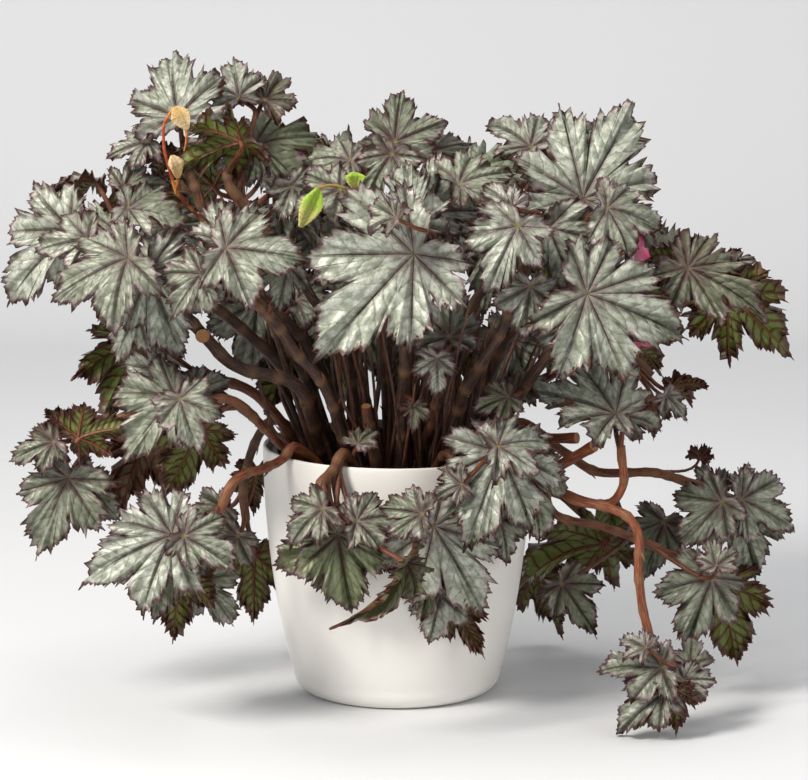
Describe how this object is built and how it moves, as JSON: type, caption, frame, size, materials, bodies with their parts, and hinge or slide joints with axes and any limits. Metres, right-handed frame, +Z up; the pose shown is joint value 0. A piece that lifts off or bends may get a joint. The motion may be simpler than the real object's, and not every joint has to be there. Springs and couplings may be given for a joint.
{
  "type": "potted rex begonia",
  "caption": "House plant with lobed, silvery, dark-veined leaves on thick stems that stand in a pot of soil, form a dome and hang over the rim of a round cover pot.",
  "frame": {"origin": "centre of the cover pot's flat foot, on the surface that it stands on", "axes": "+Z up, +X to the right and +Y away from the viewer, seen from the front"},
  "size_m": [0.6361, 0.3837, 0.5249],
  "materials": {
    "cover_pot": "satin",
    "nursery_pot": "satin",
    "soil": "matte",
    "foliage": "satin",
    "stem": "matte",
    "capsule_dry": "matte",
    "capsule_green": "satin",
    "petal": "satin"
  },
  "bodies": {
    "root": {"cover_pot": "cover_pot", "nursery_pot": "nursery_pot", "soil": "soil", "shoot_centre_front": "foliage", "shoot_right_front": "foliage", "shoot_right": "foliage", "shoot_left": "foliage", "shoot_left_inner": "foliage", "shoot_far_left": "foliage", "shoot_top_left": "foliage", "shoot_top_left_inner": "foliage", "shoot_top_centre": "foliage", "shoot_top_right_inner": "foliage", "shoot_top_right": "foliage", "shoot_far_right": "foliage", "shoot_trail_left": "foliage", "shoot_mid_left": "foliage", "shoot_hang_left": "foliage", "shoot_behind_left": "foliage", "shoot_front_left": "foliage", "shoot_front_mid": "foliage", "shoot_rim_right": "foliage", "shoot_arch_right": "foliage", "shoot_hang_right": "foliage", "shoot_low_right": "foliage", "shoot_mid_right": "foliage", "shoot_back_low_right": "foliage", "shoot_back_right": "foliage", "shoot_middle": "foliage", "shoot_back_far_left": "foliage", "shoot_back_left": "foliage", "shoot_back_mid_left": "foliage", "shoot_back_centre": "foliage", "shoot_back_mid_right": "foliage", "shoot_back_far_right": "foliage", "shoot_low_left": "foliage", "shoot_inner_left": "foliage", "shoot_inner_centre": "foliage", "shoot_inner_right": "foliage", "cut_stem_front": "stem", "cut_stem_left": "stem", "capsules_dry": "capsule_dry", "capsules_green": "capsule_green", "flower_upper": "petal", "flower_lower": "petal"}
  },
  "joints": []
}
